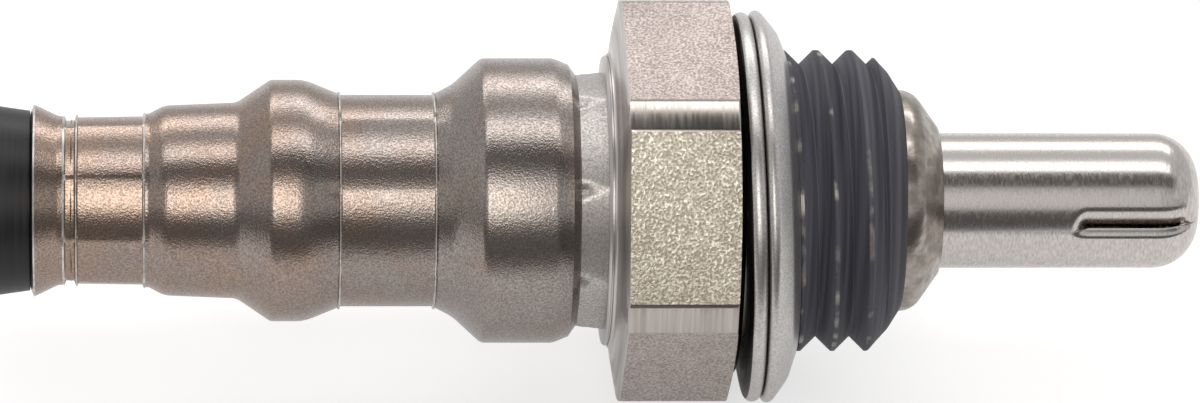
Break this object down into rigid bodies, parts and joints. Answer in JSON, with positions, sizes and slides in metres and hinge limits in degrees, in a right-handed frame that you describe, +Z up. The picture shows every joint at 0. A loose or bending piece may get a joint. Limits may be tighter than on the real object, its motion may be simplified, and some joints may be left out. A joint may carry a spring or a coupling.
{
  "type": "oxygen sensor",
  "caption": "Screw-in exhaust gas oxygen sensor with a hexagon body, captive crush gasket, louvred protection tube and a crimped sleeve with a rubber wire grommet.",
  "frame": {"origin": "on the sensor's axis at the start of the thread, just in front of the captive gasket", "axes": "+X along the axis from the lead end to the sensing tip; +Z up, square to a hexagon flat that faces down"},
  "size_m": [0.0735, 0.0238, 0.0228],
  "materials": {
    "housing_steel": "turned, satin, with grey paste on the thread",
    "gasket_steel": "satin plated sheet",
    "stainless": "fine brushing round the tube",
    "sleeve_steel": "drawn, warm grey satin",
    "rubber": "moulded, matte",
    "fluoropolymer": "turned, matte",
    "zirconia": "fired, porous outside",
    "alumina": "fired, matte",
    "seal_metal": "soft, flat",
    "packing_powder": "pressed powder",
    "inner_steel": "stamped",
    "contact_metal": "stamped and formed"
  },
  "bodies": {
    "root": {"housing": "housing_steel", "gasket": "gasket_steel", "protection_tube": "stainless", "outer_sleeve": "sleeve_steel", "grommet": "rubber", "insulating_disc": "fluoropolymer", "sensing_element": "zirconia", "heater_rod": "alumina", "element_seal_ring": "seal_metal", "talc_packing": "packing_powder", "packing_washer": "inner_steel", "support_bush": "alumina", "disc_spring": "inner_steel", "retaining_ring": "inner_steel", "terminal_holder": "alumina", "holder_ring": "inner_steel", "signal_contact": "contact_metal", "ground_contact": "contact_metal", "heater_contact_left": "contact_metal", "heater_contact_right": "contact_metal"}
  },
  "joints": []
}
